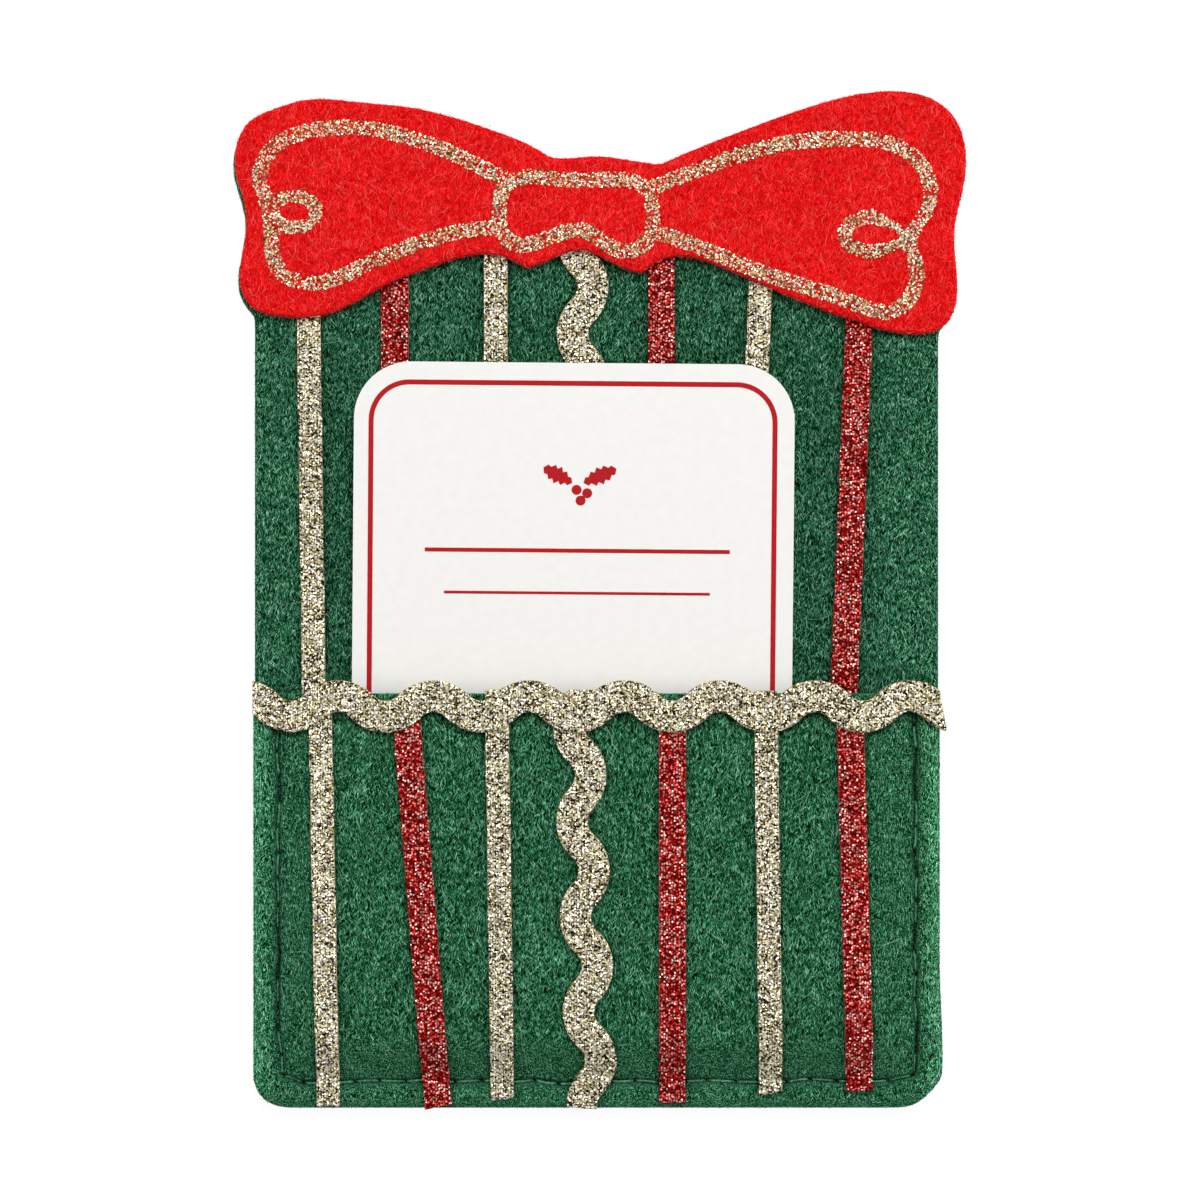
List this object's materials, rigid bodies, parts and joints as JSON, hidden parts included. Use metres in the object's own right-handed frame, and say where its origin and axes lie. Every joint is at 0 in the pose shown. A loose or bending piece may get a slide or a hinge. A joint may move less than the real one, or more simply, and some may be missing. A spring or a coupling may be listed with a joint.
{
  "type": "gift card holder",
  "caption": "Flat felt card holder cut like a wrapped present, with a bow on top, glitter trims and a sewn pocket that a card slides into.",
  "frame": {"origin": "middle of the back face, halfway up the holder's length", "axes": "+X to the right seen from the front, +Y towards the bow, +Z out of the front"},
  "size_m": [0.0902, 0.1248, 0.0058],
  "materials": {
    "green_felt": "matte",
    "red_felt": "matte",
    "green_thread": "satin",
    "gold_glitter": "gloss",
    "red_glitter": "gloss",
    "card_stock": "satin"
  },
  "bodies": {
    "holder": {"back_panel": "green_felt", "pocket_panel": "green_felt", "needle_thread": "green_thread", "bobbin_thread": "green_thread", "back_gold_left": "gold_glitter", "back_red_left": "red_glitter", "back_gold_middle": "gold_glitter", "back_ricrac": "gold_glitter", "back_red_middle": "red_glitter", "back_gold_right": "gold_glitter", "back_red_right": "red_glitter", "bow": "red_felt", "bow_contour": "gold_glitter", "pocket_gold_left": "gold_glitter", "pocket_red_left": "red_glitter", "pocket_gold_middle": "gold_glitter", "pocket_ricrac": "gold_glitter", "pocket_red_middle": "red_glitter", "pocket_gold_right": "gold_glitter", "pocket_red_right": "red_glitter", "mouth_ricrac": "gold_glitter"},
    "card": {"card": "card_stock"}
  },
  "joints": [
    {"name": "card_slide", "type": "slide", "parent": "holder", "child": "card", "axis": [0.0087, 0.9997, 0.0213], "range_m": [0, 0.05]}
  ]
}
